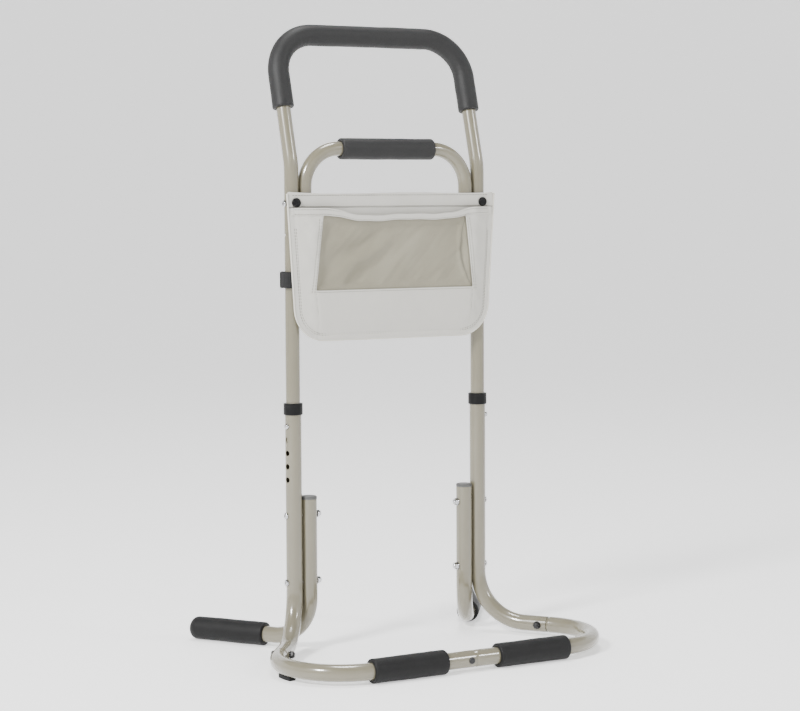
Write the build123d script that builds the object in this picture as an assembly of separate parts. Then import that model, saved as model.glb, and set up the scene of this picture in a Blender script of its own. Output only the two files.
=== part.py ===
from build123d import *
import math
import os

# Free-standing stand-assist frame, millimetres, +Z up, the user faces -Y.
# Driving sizes
upright_spacing = 329.0         # between the two upright axes
upper_od = 22.2                 # upper legs and both handles
tube_wall = 1.4
slide_clearance = 0.2           # radial, upper leg inside the lower one
tube_gap = 0.1                  # between tubes bolted side by side
fit_clearance = 0.1             # radial, sleeves and spigots
hole_clearance = 0.2            # radial, round a pin or a bolt
foot_od = 36.0                  # foam sleeves on the floor
grip_od = 33.0                  # foam sleeve on the handles
foam_round = 2.5
foot_round = 11.0                # closed end of a rear foot sleeve

lower_top = 383.0               # top of the lower leg tube
collar_height = 18.0
collar_od = 29.5
hole_top = 349.4                # first height hole, used at rest
hole_pitch = 20.5
hole_count = 5
button_radius = 4.0
button_proud = 3.6
button_turn = 15.0              # degrees the height holes face forward
upper_bottom = 318.0

leg_bend = 80.0                 # bend where the leg meets the floor
leg_splay = 37.0                # degrees outward from straight ahead
side_seam = 120.0               # from the upright axis, along the leg
side_bolt = 106.5
corner_bend = 94.5
base_reach = 252.0              # uprights to the front bar
splice_x = 3.0
spigot_length = 40.0
front_foam_inner = 44.5
front_foam_outer = 167.0
pad_angle = 9.0                 # half angle covered by a corner pad
pad_width = 12.0
pad_wrap = 1.1                  # how far a pad reaches up round the tube

rear_top = 235.5
rear_bend = 62.0
rear_splay = 35.0               # degrees outward from straight back
rear_foam_start = 78.0
rear_foam_end = 212.0
rear_bolt_heights = (211.5, 108.0)

seam_height = 643.0             # upper leg to main handle
lean_height = 748.0
lean_angle = 16.0
lean_bend = 90.0
handle_height = 948.5           # main bar axis
handle_corner = 65.0
grip_bottom = 834.5
second_height = 772.5           # second bar axis
second_corner = 58.0
second_grip = 162.0
second_bottom = 555.0
upper_bolt_heights = (689.0, 573.5)

bolt_radius = 3.0
head_radius = 5.2
side_head_radius = 6.0
base_button_radius = 5.0
spring_width = 8.0
head_height = 3.0
washer_radius = 6.2
washer_thick = 1.2
nut_radius = 5.6
nut_height = 3.6
nut_dome = 2.5

pouch_top = 704.5
pouch_bottom = 480.0
pouch_over_top = 18.0           # past the upright axis
pouch_over_bottom = 3.5
pouch_corner = 44.0
cloth_thick = 1.5
pocket_depth = 10.0
pocket_top = 682.0
pocket_sag = 12.0
hem_height = 9.0
window_top = 660.0
window_bottom = 557.0
window_inset_top = 38.5         # inside the upright axis
window_inset_bottom = 26.0
soft_gap = 0.3
snap_height = 690.5
snap_radius = 7.3
snap_post = 1.6
strap_height = 573.5
strap_width = 25.0
strap_thick = 1.6

# Sizes that follow
half = upright_spacing / 2
lower_od = upper_od + 2 * (tube_wall + slide_clearance)
lower_r = lower_od / 2
upper_r = upper_od / 2
lower_bore = lower_r - tube_wall
upper_bore = upper_r - tube_wall
lower_spigot = lower_bore - fit_clearance
upper_spigot = upper_bore - fit_clearance
foot_r = foot_od / 2
grip_r = grip_od / 2
floor_axis = foot_r
pad_height = floor_axis - lower_r + pad_wrap
rear_x = half - lower_od - tube_gap
second_x = half - upper_od - tube_gap
pouch_half_top = half + pouch_over_top
pouch_half_bottom = half + pouch_over_bottom
window_half_top = half - window_inset_top
window_half_bottom = half - window_inset_bottom
neck = 4.0
nodes = {}


def rod(start, end, radius):
    start = Vector(*start)
    end = Vector(*end)
    plane = Plane(origin=start, z_dir=end - start)
    return extrude(plane * Circle(radius), (end - start).length)


def bent_path(points, bends):
    points = [Vector(*p) for p in points]
    edges = []
    here = points[0]
    for corner, after, bend in zip(points[1:-1], points[2:], bends):
        arriving = (corner - here).normalized()
        leaving = (after - corner).normalized()
        turn = math.radians(arriving.get_angle(leaving))
        inward = (leaving - arriving).normalized()
        centre = corner + inward * (bend / math.cos(turn / 2))
        reach = bend * math.tan(turn / 2)
        first = corner - arriving * reach
        last = corner + leaving * reach
        edges.append(Line(here, first))
        edges.append(ThreePointArc(first, centre - inward * bend, last))
        here = last
    edges.append(Line(here, points[-1]))
    return Wire(edges)


def bar(path, radius):
    plane = Plane(origin=path.position_at(0), z_dir=path.tangent_at(0))
    return sweep(plane * Circle(radius), path=path)


def tube(path, radius, bore):
    return bar(path, radius) - bar(path, bore)


def sleeve(path, radius, bore):
    body = bar(path, radius)
    rims = [e for e in body.edges() if e.geom_type == GeomType.CIRCLE]
    ends = [path.position_at(0), path.position_at(1)]
    rims = [e for e in rims if min((e.arc_center - p).length for p in ends) < 0.01]
    body = fillet(rims, foam_round)
    return body - bar(path, bore)


def spigot(start, end, radius, inner):
    # necked tube end: a short cone from the full size, then the plug length
    start = Vector(*start)
    end = Vector(*end)
    along = (end - start).normalized()
    plane = Plane(origin=start, z_dir=along)
    cone = loft([plane * Circle(radius), plane.offset(neck) * Circle(inner)])
    body = cone + rod(start + along * neck, end, inner)
    return body - rod(start - along, end + along, inner - tube_wall)


def fastener(outer, outward, grip, head=head_radius):
    # bolt with a low domed head, washer and dome nut, the head facing outward
    plane = Plane(origin=Vector(*outer), z_dir=Vector(*outward))
    top = extrude(Circle(head), head_height)
    top = fillet(top.edges().sort_by(Axis.Z)[-1], head_height * 0.8)
    top -= Pos(0, 0, head_height - 1.4) * extrude(RegularPolygon(1.9, 6), 2)
    shank_length = grip + washer_thick + nut_height + 0.6
    bolt = top + Pos(0, 0, -shank_length) * extrude(Circle(bolt_radius), shank_length)
    ring = Circle(washer_radius) - Circle(bolt_radius + hole_clearance)
    washer = Pos(0, 0, -grip - washer_thick) * extrude(ring, washer_thick)
    hexagon = extrude(RegularPolygon(nut_radius, 6), -nut_height)
    dome = Pos(0, 0, -nut_height) * extrude(Circle(nut_radius * 0.8), -nut_dome)
    dome = fillet(dome.edges().sort_by(Axis.Z)[0], nut_dome * 0.9)
    nut = hexagon + dome
    nut -= extrude(Circle(bolt_radius + fit_clearance), -nut_height - 0.9)
    nut = Pos(0, 0, -grip - washer_thick) * nut
    return plane * bolt, plane * washer, plane * nut


def cross_hole(centre, direction, reach, radius):
    centre = Vector(*centre)
    along = Vector(*direction).normalized() * reach
    return rod(centre - along, centre + along, radius)


def strip(points, thick, width):
    # flat spring drawn in XZ, rounded where it bends
    body = None
    for a, b in zip(points[:-1], points[1:]):
        length = math.dist(a, b)
        angle = math.degrees(math.atan2(b[1] - a[1], b[0] - a[0]))
        leaf = Location(((a[0] + b[0]) / 2, 0, (a[1] + b[1]) / 2), (0, -angle, 0))
        leaf = leaf * Box(length, width, thick)
        body = leaf if body is None else body + leaf
    for p in points[1:-1]:
        joint = Location((p[0], 0, p[1]), (90, 0, 0)) * Cylinder(thick / 2, width)
        body += joint
    return body


def mirrored(shape):
    return mirror(shape, about=Plane.YZ)


def both_sides(name, right_shape):
    nodes[name + "_right"] = right_shape
    nodes[name + "_left"] = mirrored(right_shape)


def group(name, shapes):
    nodes[name] = Compound(children=[s for s in shapes])


# Directions on the right-hand side
splay = math.radians(leg_splay)
ahead = Vector(math.sin(splay), -math.cos(splay), 0)
rear = math.radians(rear_splay)
back = Vector(math.sin(rear), math.cos(rear), 0)
foot = Vector(half, 0, floor_axis)
rear_foot = Vector(rear_x, 0, floor_axis)
corner_point = foot + ahead * (base_reach / math.cos(splay))
turn = math.radians(90 + leg_splay)
corner_reach = corner_bend * math.tan(turn / 2)
corner_centre = Vector(corner_point.X - corner_reach, -base_reach + corner_bend, floor_axis)

# Lower leg with its height holes and bolt holes
button_angle = math.radians(button_turn)
button_out = Vector(math.cos(button_angle), -math.sin(button_angle), 0)
leg_path = bent_path([(half, 0, lower_top), tuple(foot), tuple(foot + ahead * side_seam)], [leg_bend])
leg = tube(leg_path, lower_r, lower_bore)
for i in range(hole_count):
    centre = Vector(half, 0, hole_top - i * hole_pitch)
    leg -= rod(centre + button_out * 6, centre + button_out * 20, button_radius + hole_clearance)
for z in rear_bolt_heights:
    leg -= cross_hole((half, 0, z), (1, 0, 0), 20, bolt_radius + hole_clearance)
side_normal = Vector(ahead.Y, -ahead.X, 0)
if side_normal.X < 0:
    side_normal = side_normal * -1
joint_point = foot + ahead * side_bolt
leg -= cross_hole(tuple(joint_point), tuple(side_normal), 20, bolt_radius + hole_clearance)
both_sides("lower_leg", leg)

# Collar that caps the lower leg and guides the upper one
collar_bottom = lower_top + 2.0 - collar_height
collar = Pos(half, 0, collar_bottom) * extrude(Circle(collar_od / 2), collar_height)
collar = fillet(collar.edges().filter_by(GeomType.CIRCLE), 1.2)
seat = extrude(Circle(lower_r + fit_clearance), collar_height - 2.0)
collar -= Pos(half, 0, collar_bottom) * seat
collar -= Pos(half, 0, lower_top - 1) * extrude(Circle(upper_r + fit_clearance), 5)
both_sides("leg_collar", collar)

# Rear foot tube, bolted inboard of the lower leg
rear_end = rear_foot + back * (rear_foam_end - 12)
rear_path = bent_path([(rear_x, 0, rear_top), tuple(rear_foot), tuple(rear_end)], [rear_bend])
rear_tube = tube(rear_path, lower_r, lower_bore)
for z in rear_bolt_heights:
    rear_tube -= cross_hole((rear_x, 0, z), (1, 0, 0), 20, bolt_radius + hole_clearance)
both_sides("rear_leg", rear_tube)

cap = Pos(rear_x, 0, rear_top) * extrude(Circle(lower_r), 5)
cap = fillet(cap.edges().sort_by(Axis.Z)[-1], 2.2)
cap += Pos(rear_x, 0, rear_top - 12) * extrude(Circle(lower_spigot), 12)
cap -= Pos(rear_x, 0, rear_top - 13) * extrude(Circle(lower_spigot - 2), 12)
both_sides("rear_leg_cap", cap)

foam_body = rod(tuple(rear_foot + back * rear_foam_start), tuple(rear_foot + back * rear_foam_end), foot_r)
near = rear_foot + back * rear_foam_start
rims = foam_body.edges().filter_by(GeomType.CIRCLE)
rims = rims.sort_by(lambda e: (e.arc_center - near).length)
foam_body = fillet(rims[-1], foot_round)
rims = foam_body.edges().filter_by(GeomType.CIRCLE)
rims = rims.sort_by(lambda e: (e.arc_center - near).length)
foam_body = fillet(rims[0], foam_round)
foam_body -= rod(tuple(near - back), tuple(rear_end + back * 1.5), lower_r + fit_clearance)
both_sides("rear_foot_foam", foam_body)

plug = rod(tuple(rear_end - back * 12), tuple(rear_end), lower_spigot)
plug += rod(tuple(rear_end + back * 0.05), tuple(rear_end + back * 1.3), lower_r - 0.4)
plug += rod(tuple(rear_end - back), tuple(rear_end + back), lower_spigot - 1)
both_sides("rear_tube_plug", plug)

# Front base, two halves spliced near the middle
seam_point = foot + ahead * side_seam
start = seam_point + ahead * (neck + 0.4)


def base_half(end_x):
    path = bent_path([tuple(start), tuple(corner_point), (end_x, -base_reach, floor_axis)], [corner_bend])
    body = tube(path, lower_r, lower_bore)
    plug_end = tuple(seam_point - ahead * (spigot_length - 14))
    body += spigot(tuple(start), plug_end, lower_r, lower_spigot)
    body -= cross_hole(tuple(joint_point), tuple(side_normal), 20, bolt_radius + hole_clearance)
    return body


splice_start = (splice_x + neck + 0.4, -base_reach, floor_axis)
button_x = splice_x - 8.0
button_centre = Vector(button_x, -base_reach, floor_axis)
button_hole = rod(tuple(button_centre), tuple(button_centre + Vector(0, -20, 0)), base_button_radius + hole_clearance)
right_base = base_half(splice_start[0])
spigot_end = (splice_x - spigot_length, -base_reach, floor_axis)
right_base += spigot(splice_start, spigot_end, lower_r, lower_spigot)
nodes["front_base_right"] = right_base - button_hole
nodes["front_base_left"] = mirrored(base_half(-splice_x)) - button_hole

foam_path = Wire([Line((front_foam_inner, -base_reach, floor_axis), (front_foam_outer, -base_reach, floor_axis))])
both_sides("front_foam", sleeve(foam_path, foot_r, lower_r + fit_clearance))

# Rubber pads under the front corners
pad_section = Plane.XZ * (Pos(corner_bend, pad_height / 2) * Rectangle(pad_width, pad_height))
pad_section = fillet(pad_section.vertices(), 1.0)
pad = revolve(pad_section, Axis.Z, revolution_arc=2 * pad_angle)
tube_ring = revolve(Plane.XZ * (Pos(corner_bend, floor_axis) * Circle(lower_r + fit_clearance)), Axis.Z, 360)
pad = pad - tube_ring
pad_turn = -pad_angle - 4.0
pad = Pos(corner_centre.X, corner_centre.Y, 0) * Rot(0, 0, pad_turn) * pad
both_sides("corner_pad", pad)

# Bolts that hold the rear feet to the lower legs
bolts = []
washers = []
nuts = []
for z in rear_bolt_heights:
    set_of_three = fastener((half + lower_r + 0.05, 0, z), (1, 0, 0), 2 * lower_od + tube_gap + 0.1)
    for store, piece in zip((bolts, washers, nuts), set_of_three):
        store += [piece, mirrored(piece)]
group("rear_leg_bolts", bolts)
group("rear_leg_washers", washers)
group("rear_leg_nuts", nuts)

outer_side = joint_point + side_normal * (lower_r + 0.05)
bolt, washer, nut = fastener(tuple(outer_side), tuple(side_normal), lower_od + 0.1, side_head_radius)
both_sides("side_joint_bolt", bolt)
group("side_joint_washers", [washer, mirrored(washer)])
group("side_joint_nuts", [nut, mirrored(nut)])

# Height buttons, each on a folded leaf spring inside the upper leg
tip = lower_r + button_proud
flange_face = math.sqrt(upper_bore ** 2 - (button_radius + 1.2) ** 2) - 0.3
button = Pos(0, 0, flange_face - 0.5) * extrude(Circle(button_radius), tip - flange_face + 0.5)
button = fillet(button.edges().sort_by(Axis.Z)[-1], button_radius * 0.6)
button += Pos(0, 0, flange_face - 1) * extrude(Circle(button_radius + 1.0), 1)
leaf_x = flange_face - 1.0 - 0.45
leaf_back = math.sqrt(upper_bore ** 2 - (spring_width / 2) ** 2) - 0.54
spring = strip([(leaf_x, 6), (leaf_x, -7), (2.5, -40), (-2.5, -40), (-leaf_back, -7), (-leaf_back, 6)], 0.7, spring_width)
facing = Rot(0, 0, -button_turn)
height_button = Pos(half, 0, hole_top) * facing * Rot(0, 90, 0) * button
height_spring = Pos(half, 0, hole_top) * facing * spring
both_sides("height_button", height_button)
both_sides("height_spring", height_spring)

# Button that locks the two base halves together
bore = lower_spigot - tube_wall
base_face = math.sqrt(bore ** 2 - (base_button_radius + 1.2) ** 2) - 0.3
base_button = Pos(0, 0, base_face - 0.5) * extrude(Circle(base_button_radius), lower_r + 2.4 - base_face + 0.5)
base_button = fillet(base_button.edges().sort_by(Axis.Z)[-1], base_button_radius * 0.5)
base_button += Pos(0, 0, base_face - 1) * extrude(Circle(base_button_radius + 1.0), 1)
nodes["base_button"] = Pos(*button_centre) * Rot(90, 0, 0) * base_button
leaf_x = base_face - 1.0 - 0.45
leaf_back = math.sqrt(bore ** 2 - (spring_width / 2) ** 2) - 0.64
spring = strip([(leaf_x, 6), (leaf_x, -5), (2.5, -27), (-2.5, -27), (-leaf_back, -5), (-leaf_back, 6)], 0.7, spring_width)
nodes["base_spring"] = Pos(*button_centre) * Rot(0, 0, -90) * Rot(90, 0, 0) * spring

# Upper legs, necked at the top to plug into the main handle
straight = Wire([Line((half, 0, upper_bottom), (half, 0, seam_height - neck - 0.6))])
upper = tube(straight, upper_r, upper_bore)
spigot_top = (half, 0, upper_bolt_heights[0] + 12)
upper += spigot((half, 0, seam_height - neck - 0.6), spigot_top, upper_r, upper_spigot)
centre = Vector(half, 0, hole_top)
upper -= rod(tuple(centre + button_out * 6), tuple(centre + button_out * 20), button_radius + hole_clearance)
for z in upper_bolt_heights:
    upper -= cross_hole((half, 0, z), (1, 0, 0), 20, bolt_radius + hole_clearance)
upper -= rod((half, -5, snap_height), (half, -20, snap_height), snap_post + hole_clearance)
both_sides("upper_leg", upper)

# Main handle, leaned back above the pouch
rise = handle_height - lean_height
lean = math.tan(math.radians(lean_angle))
bar_y = rise * lean
shape_points = [
    (-half, 0, seam_height),
    (-half, 0, lean_height),
    (-half, bar_y, handle_height),
    (half, bar_y, handle_height),
    (half, 0, lean_height),
    (half, 0, seam_height),
]
handle_path = bent_path(shape_points, [lean_bend, handle_corner, handle_corner, lean_bend])
handle = tube(handle_path, upper_r, upper_bore)
for side in (-1, 1):
    handle -= cross_hole((side * half, 0, upper_bolt_heights[0]), (1, 0, 0), 20, bolt_radius + hole_clearance)
    handle -= rod((side * half, -5, snap_height), (side * half, -20, snap_height), snap_post + hole_clearance)
nodes["main_handle"] = handle
grip_y = (grip_bottom - lean_height) * lean
grip_points = [
    (-half, grip_y, grip_bottom),
    (-half, bar_y, handle_height),
    (half, bar_y, handle_height),
    (half, grip_y, grip_bottom),
]
grip_path = bent_path(grip_points, [handle_corner, handle_corner])
nodes["main_grip"] = sleeve(grip_path, grip_r, upper_r + fit_clearance)

# Second handle between the main tubes
second_points = [
    (-second_x, 0, second_bottom),
    (-second_x, 0, second_height),
    (second_x, 0, second_height),
    (second_x, 0, second_bottom),
]
second = tube(bent_path(second_points, [second_corner, second_corner]), upper_r, upper_bore)
for side in (-1, 1):
    for z in upper_bolt_heights:
        second -= cross_hole((side * second_x, 0, z), (1, 0, 0), 20, bolt_radius + hole_clearance)
nodes["second_handle"] = second
second_path = Wire([Line((-second_grip / 2, 0, second_height), (second_grip / 2, 0, second_height))])
nodes["second_grip"] = sleeve(second_path, grip_r, upper_r + fit_clearance)

end_plug = rod((second_x, 0, second_bottom), (second_x, 0, second_bottom + 10), upper_spigot)
end_plug += rod((second_x, 0, second_bottom - 2.5), (second_x, 0, second_bottom), upper_r)
group("second_handle_plugs", [end_plug, mirrored(end_plug)])

bolts = []
washers = []
nuts = []
for z in upper_bolt_heights:
    set_of_three = fastener((half + upper_r + 0.05, 0, z), (1, 0, 0), 2 * upper_od + tube_gap + 0.1)
    for store, piece in zip((bolts, washers, nuts), set_of_three):
        store += [piece, mirrored(piece)]
group("handle_bolts", bolts)
group("handle_washers", washers)
group("handle_nuts", nuts)

# Straps: closed loops round both tubes on each side, over the lower bolt
strap_r = upper_r + 0.4
strap_in = second_x - washer_thick - nut_height - nut_dome - 1.5
strap_out = half + head_height + 1.2


def slot(radius):
    middle = (strap_in + strap_out) / 2
    return Pos(middle, 0) * SlotCenterToCenter(strap_out - strap_in, 2 * radius)


band = extrude(slot(strap_r + strap_thick) - slot(strap_r), strap_width)
both_sides("strap", Pos(0, 0, strap_height - strap_width / 2) * band)

# Pouch: back panel, front pocket, mesh window, pocket hem and edge binding
panel_y = -(strap_r + strap_thick + soft_gap)
front_y = panel_y - cloth_thick - soft_gap


def outline(grow, top):
    slope = (pouch_half_top - pouch_half_bottom) / (pouch_top - pouch_bottom)
    wide = pouch_half_bottom + slope * (top - pouch_bottom) + grow
    low = pouch_half_bottom + grow
    floor = pouch_bottom - grow
    shape = make_face(Polyline((-wide, top), (wide, top), (low, floor), (-low, floor), close=True))
    return fillet(shape.vertices().sort_by(Axis.Y)[:2], pouch_corner + grow)


def slab(face, y_front, depth):
    # a drawing in X and Z pulled out along Y, ending at y_front
    return Pos(0, y_front + depth, 0) * extrude(Plane.XZ * face, depth)


back_panel = slab(outline(0, pouch_top), panel_y - cloth_thick, cloth_thick)
for side in (-1, 1):
    back_panel -= rod((side * half, 0, snap_height), (side * half, -30, snap_height), snap_post + hole_clearance)
nodes["pouch_back"] = back_panel

pocket = slab(outline(0, pocket_top), front_y - pocket_depth, pocket_depth)
hollow = slab(outline(-2.0, pocket_top + 5), front_y - pocket_depth + cloth_thick, pocket_depth)
dip_edge = ThreePointArc((-pouch_half_top, pocket_top), (0, pocket_top - pocket_sag), (pouch_half_top, pocket_top))
dip = make_face([dip_edge, Line(dip_edge @ 1, dip_edge @ 0)])
pocket -= hollow
pocket -= slab(dip, front_y - pocket_depth - 1, pocket_depth + 2)


def window(grow):
    return make_face(Polyline(
        (-window_half_top - grow, window_top + grow),
        (window_half_top + grow, window_top + grow),
        (window_half_bottom + grow, window_bottom - grow),
        (-window_half_bottom - grow, window_bottom - grow),
        close=True,
    ))


pocket -= slab(window(0), front_y - pocket_depth - 1, cloth_thick + 2)
nodes["pouch_pocket"] = pocket
nodes["pouch_mesh"] = slab(window(-soft_gap), front_y - pocket_depth + 0.9, 0.6)

hem_y = front_y - pocket_depth - soft_gap
hem_half = pouch_half_top - 6
hem_top = ThreePointArc((-hem_half, pocket_top - 1), (0, pocket_top - pocket_sag), (hem_half, pocket_top - 1))
hem_low = Pos(0, -hem_height) * hem_top
hem = make_face([hem_top, Line(hem_top @ 1, hem_low @ 1), hem_low, Line(hem_low @ 0, hem_top @ 0)])
nodes["pocket_hem"] = slab(hem, hem_y - 1.2, 1.2)

edge = outline(3.3, pouch_top - 0.5) - outline(soft_gap, pouch_top + 1)
nodes["pouch_binding"] = slab(edge, front_y - 3.0, 4.5)

# Snaps near the top corners hold the pouch to rivets in the main tubes
caps = []
studs = []
for side in (-1, 1):
    z = snap_height
    x = side * half
    caps_y = panel_y - cloth_thick - 0.1
    head = rod((x, caps_y, z), (x, caps_y - 3, z), snap_radius)
    head = fillet(head.edges().sort_by(Axis.Y)[0], 1.8)
    head += rod((x, caps_y - 0.2, z), (x, panel_y + 0.2, z), snap_post)
    caps.append(head)
    stud = rod((x, -upper_r + 3.2, z), (x, panel_y + 0.3, z), snap_post)
    stud += rod((x, -upper_r - 0.1, z), (x, panel_y + 0.3, z), snap_post + 2.6)
    studs.append(stud)
group("pouch_snaps", caps)
group("snap_studs", studs)

# Put the middle of the footprint at the origin, then write every node
boxes = [shape.bounding_box() for shape in nodes.values()]
low_y = min(b.min.Y for b in boxes)
high_y = max(b.max.Y for b in boxes)
shift = Vector(0, -(low_y + high_y) / 2, 0)
os.makedirs("parts", exist_ok=True)
for name, shape in nodes.items():
    moved = Pos(*shift) * shape
    export_step(moved, "parts/" + name + ".step")
print("uprights at y", round(shift.Y, 3), "nodes", len(nodes))
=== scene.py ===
import bpy, math
from mathutils import Euler, Matrix, Vector, noise


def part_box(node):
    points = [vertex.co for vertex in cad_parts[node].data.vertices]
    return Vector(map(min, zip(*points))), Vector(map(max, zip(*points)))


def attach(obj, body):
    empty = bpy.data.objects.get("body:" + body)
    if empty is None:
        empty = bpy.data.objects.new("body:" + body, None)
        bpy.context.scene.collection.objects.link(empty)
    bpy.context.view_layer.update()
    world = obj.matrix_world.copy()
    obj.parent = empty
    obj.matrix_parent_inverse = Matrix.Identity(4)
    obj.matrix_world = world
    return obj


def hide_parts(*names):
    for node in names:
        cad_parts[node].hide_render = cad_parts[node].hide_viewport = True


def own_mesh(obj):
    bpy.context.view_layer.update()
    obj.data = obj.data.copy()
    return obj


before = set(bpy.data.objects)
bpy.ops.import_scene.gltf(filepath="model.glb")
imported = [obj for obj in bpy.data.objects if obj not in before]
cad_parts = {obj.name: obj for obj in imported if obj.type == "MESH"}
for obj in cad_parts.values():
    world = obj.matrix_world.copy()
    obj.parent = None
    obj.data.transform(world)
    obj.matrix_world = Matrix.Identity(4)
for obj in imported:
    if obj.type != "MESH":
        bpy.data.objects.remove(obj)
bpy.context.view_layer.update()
print("frame loaded, nodes:", len(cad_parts))

view = {"place": (-1.6078, -2.8872, 0.7013), "turn": 29.08, "tip": 4.28, "roll": -0.27, "lens": 96.5}


def makeCamera():
    data = bpy.data.cameras.new("camera")
    data.lens, data.sensor_width = view["lens"], 36.0
    cam = bpy.data.objects.new("camera", data)
    bpy.context.scene.collection.objects.link(cam)
    aim = Euler((math.radians(90 - view["tip"]), 0, math.radians(-view["turn"]))).to_matrix()
    aim = aim @ Matrix.Rotation(math.radians(view["roll"]), 3, "Z")
    cam.rotation_euler = aim.to_euler()
    cam.location = view["place"]
    bpy.context.scene.camera = cam


makeCamera()
print("camera made")


# effects that several materials share, each one a node group
def newGroup(name, inputs, outputs):
    group = bpy.data.node_groups.new(name, "ShaderNodeTree")
    for label, kind, value in inputs:
        socket = group.interface.new_socket(name=label, in_out="INPUT", socket_type=kind)
        socket.default_value = value
    for label, kind in outputs:
        group.interface.new_socket(name=label, in_out="OUTPUT", socket_type=kind)
    return group, group.nodes.new("NodeGroupInput"), group.nodes.new("NodeGroupOutput")


def mathOn(tree, how, a, b=None, c=None, clamp=False):
    node = tree.nodes.new("ShaderNodeMath")
    node.operation, node.use_clamp = how, clamp
    for slot, value in zip(node.inputs, (a, b, c)):
        if value is None:
            continue
        if isinstance(value, (int, float)):
            slot.default_value = value
        else:
            tree.links.new(value, slot)
    return node.outputs[0]


def noiseOn(tree, coords, scale, detail=3.0, rough=0.55):
    node = tree.nodes.new("ShaderNodeTexNoise")
    tree.links.new(coords, node.inputs["Vector"])
    if isinstance(scale, (int, float)):
        node.inputs["Scale"].default_value = scale
    else:
        tree.links.new(scale, node.inputs["Scale"])
    node.inputs["Detail"].default_value = detail
    node.inputs["Roughness"].default_value = rough
    return node.outputs["Fac"]


def objectCoords(tree):
    return tree.nodes.new("ShaderNodeTexCoord").outputs["Object"]


def splitOn(tree, vector):
    node = tree.nodes.new("ShaderNodeSeparateXYZ")
    tree.links.new(vector, node.inputs[0])
    return node.outputs


def makeMottle():  # broad uneven tone
    inputs = [("Scale", "NodeSocketFloat", 12.0), ("Amount", "NodeSocketFloat", 0.1)]
    tree, given, result = newGroup("toneMottle", inputs, [("Mask", "NodeSocketFloat")])
    value = noiseOn(tree, objectCoords(tree), given.outputs["Scale"], 4.0)
    value = mathOn(tree, "SUBTRACT", value, 0.5)
    value = mathOn(tree, "MULTIPLY_ADD", value, given.outputs["Amount"], 0.5)
    tree.links.new(value, result.inputs["Mask"])
    return tree


def makeGrain():  # fine moulded or sprayed grain
    inputs = [("Scale", "NodeSocketFloat", 900.0), ("Depth", "NodeSocketFloat", 1.0)]
    tree, given, result = newGroup("fineGrain", inputs, [("Height", "NodeSocketFloat")])
    value = noiseOn(tree, objectCoords(tree), given.outputs["Scale"], 2.0)
    tree.links.new(mathOn(tree, "MULTIPLY", value, given.outputs["Depth"]), result.inputs["Height"])
    return tree


def makeCells():  # closed foam cells, with painted shade darkening the colour in their pits
    tree, given, result = newGroup("foamCells", [("Scale", "NodeSocketFloat", 700.0)],
                                   [("Height", "NodeSocketFloat"), ("PitShade", "NodeSocketFloat")])
    coords = objectCoords(tree)
    cell = tree.nodes.new("ShaderNodeTexVoronoi")
    tree.links.new(coords, cell.inputs["Vector"])
    tree.links.new(given.outputs["Scale"], cell.inputs["Scale"])
    rough = noiseOn(tree, coords, mathOn(tree, "MULTIPLY", given.outputs["Scale"], 0.35), 4.0)
    tree.links.new(mathOn(tree, "ADD", cell.outputs["Distance"], rough), result.inputs["Height"])
    # the pits are the low cell centres; darkening them is painted shade
    pitShade = mathOn(tree, "MULTIPLY", mathOn(tree, "SUBTRACT", 0.42, cell.outputs["Distance"]), rough)
    tree.links.new(mathOn(tree, "MULTIPLY", pitShade, 4.0, clamp=True), result.inputs["PitShade"])
    return tree


def makeWeave():  # over-and-under threads across X and Z; Shade gives painted shade in the gaps between threads, plus slub tone
    inputs = [("Threads", "NodeSocketFloat", 1600.0), ("Slub", "NodeSocketFloat", 0.3)]
    outputs = [("Height", "NodeSocketFloat"), ("Shade", "NodeSocketFloat")]
    tree, given, result = newGroup("clothWeave", inputs, outputs)
    coords = objectCoords(tree)
    split = splitOn(tree, coords)
    turns = mathOn(tree, "MULTIPLY", given.outputs["Threads"], math.pi)
    across = mathOn(tree, "ADD", split["X"], split["Y"])
    warp = mathOn(tree, "SINE", mathOn(tree, "MULTIPLY", across, turns))
    weft = mathOn(tree, "SINE", mathOn(tree, "MULTIPLY", split["Z"], turns))
    threads = mathOn(tree, "ABSOLUTE", mathOn(tree, "MULTIPLY", warp, weft))
    slub = noiseOn(tree, coords, 60.0, 5.0, 0.7)
    shade = mathOn(tree, "MULTIPLY", mathOn(tree, "SUBTRACT", slub, 0.5), given.outputs["Slub"])
    tree.links.new(mathOn(tree, "ADD", threads, shade), result.inputs["Height"])
    # Shade: painted shade in the gaps between the threads, plus the yarn's slub tone
    shade = mathOn(tree, "MULTIPLY_ADD", threads, 0.3, mathOn(tree, "ADD", shade, 0.35))
    tree.links.new(shade, result.inputs["Shade"])
    return tree


def makeNet():  # open net: 1 on the threads, 0 in the holes
    inputs = [("Pitch", "NodeSocketFloat", 0.0014), ("Thread", "NodeSocketFloat", 0.6)]
    tree, given, result = newGroup("openNet", inputs, [("Solid", "NodeSocketFloat")])
    split = splitOn(tree, objectCoords(tree))
    parts = []
    for axis in ("X", "Z"):
        phase = mathOn(tree, "DIVIDE", split[axis], given.outputs["Pitch"])
        parts.append(mathOn(tree, "ABSOLUTE", mathOn(tree, "SUBTRACT", mathOn(tree, "FRACT", phase), 0.5)))
    hole = mathOn(tree, "MAXIMUM", parts[0], parts[1])
    edge = mathOn(tree, "SUBTRACT", 0.5, mathOn(tree, "MULTIPLY", given.outputs["Thread"], 0.5))
    tree.links.new(mathOn(tree, "GREATER_THAN", hole, edge), result.inputs["Solid"])
    return tree


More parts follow.
